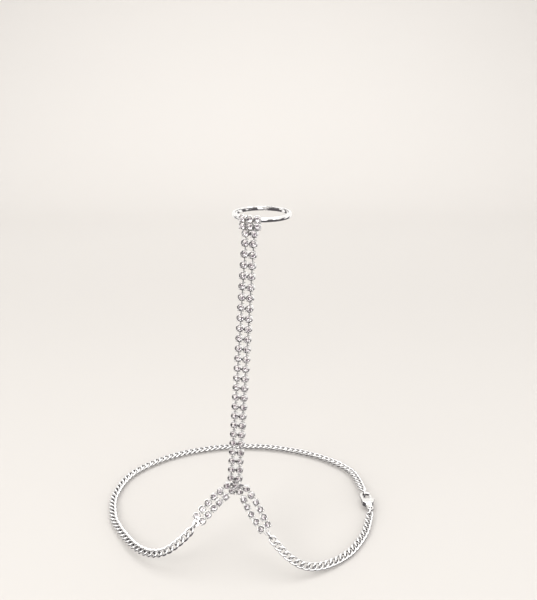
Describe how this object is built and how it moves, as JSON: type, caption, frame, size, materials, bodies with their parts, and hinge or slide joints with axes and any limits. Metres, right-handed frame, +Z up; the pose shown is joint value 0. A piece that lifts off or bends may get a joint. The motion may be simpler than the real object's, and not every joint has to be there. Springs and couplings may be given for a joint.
{
  "type": "hand chain bracelet",
  "caption": "Finger ring with a stone cluster, joined by a strand of stones in cups and forked legs to a curb chain loop that a lobster clasp closes.",
  "frame": {"origin": "middle of the finger ring, on its axis, at half the width of its band", "axes": "+Z up the finger towards its tip, -Y out of the back of the hand towards the viewer, +X to the viewer's right; the strand and the wrist loop hang below"},
  "size_m": [0.1089, 0.0861, 0.1265],
  "materials": {
    "silver_metal": "polished silver-tone plate over a base metal",
    "crystal": "clear foil-backed glass stones with polished facets"
  },
  "bodies": {
    "bracelet": {"finger_ring": "silver_metal", "ring_stones": "crystal", "strand_settings": "silver_metal", "strand_stones": "crystal", "junction_setting": "silver_metal", "junction_stones": "crystal", "left_leg_settings": "silver_metal", "left_leg_stones": "crystal", "right_leg_settings": "silver_metal", "right_leg_stones": "crystal", "left_jump_ring": "silver_metal", "right_jump_ring": "silver_metal", "left_chain": "silver_metal", "right_chain": "silver_metal", "clasp_ring": "silver_metal", "end_ring": "silver_metal", "clasp_body": "silver_metal"},
    "clasp_lever": {"clasp_lever": "silver_metal"}
  },
  "joints": [
    {"name": "lever_hinge", "type": "hinge", "parent": "bracelet", "child": "clasp_lever", "pos_m": [0.04348, 0.01642, -0.12255], "axis": [0, 0, 1], "range_deg": [0, 13], "stiffness_Nm_per_rad": 0.004, "springref_deg": -17.19}
  ]
}
